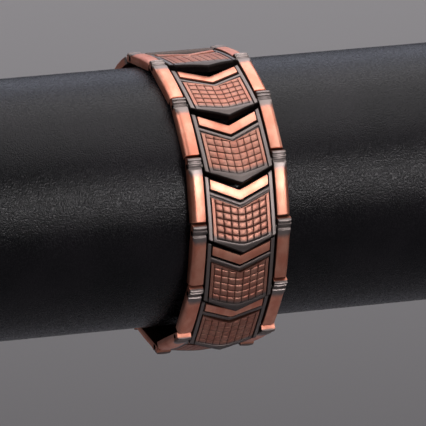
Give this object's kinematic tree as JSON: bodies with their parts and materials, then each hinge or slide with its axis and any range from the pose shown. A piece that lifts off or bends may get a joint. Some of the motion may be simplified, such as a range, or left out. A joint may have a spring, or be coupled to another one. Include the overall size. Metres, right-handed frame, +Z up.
{
  "type": "magnetic link bracelet on a display roll",
  "caption": "Antique-copper magnetic link bracelet with chevrons and waffle pads, hinged on pins, laid round a plain black display roll.",
  "frame": {"origin": "on the display roll's axis, halfway across the bracelet", "axes": "+X along the roll and across the bracelet, -Y toward the front, +Z up"},
  "size_m": [0.15, 0.0676, 0.0703],
  "materials": {
    "antique_copper": "antique copper plate, polished on the high spots, dark grey patina in the grooves and at the joints",
    "pin_steel": "darkened steel",
    "magnet_steel": "nickel plate",
    "black_leatherette": "fine-grained black leatherette with a soft sheen"
  },
  "bodies": {
    "root": {"link_01": "antique_copper", "link_02": "antique_copper", "link_03": "antique_copper", "link_04": "antique_copper", "link_05": "antique_copper", "link_06": "antique_copper", "link_07": "antique_copper", "link_08": "antique_copper", "link_09": "antique_copper", "link_10": "antique_copper", "link_11": "antique_copper", "link_12": "antique_copper", "magnet_01": "magnet_steel", "magnet_02": "magnet_steel", "magnet_03": "magnet_steel", "magnet_04": "magnet_steel", "magnet_05": "magnet_steel", "magnet_06": "magnet_steel", "magnet_07": "magnet_steel", "magnet_08": "magnet_steel", "magnet_09": "magnet_steel", "magnet_10": "magnet_steel", "magnet_11": "magnet_steel", "magnet_12": "magnet_steel", "pin_01": "pin_steel", "pin_02": "pin_steel", "pin_03": "pin_steel", "pin_04": "pin_steel", "pin_05": "pin_steel", "pin_06": "pin_steel", "pin_07": "pin_steel", "pin_08": "pin_steel", "pin_09": "pin_steel", "pin_10": "pin_steel", "pin_11": "pin_steel", "pin_12": "pin_steel", "pin_13": "pin_steel", "clasp": "antique_copper", "display_roll": "black_leatherette"}
  },
  "joints": []
}
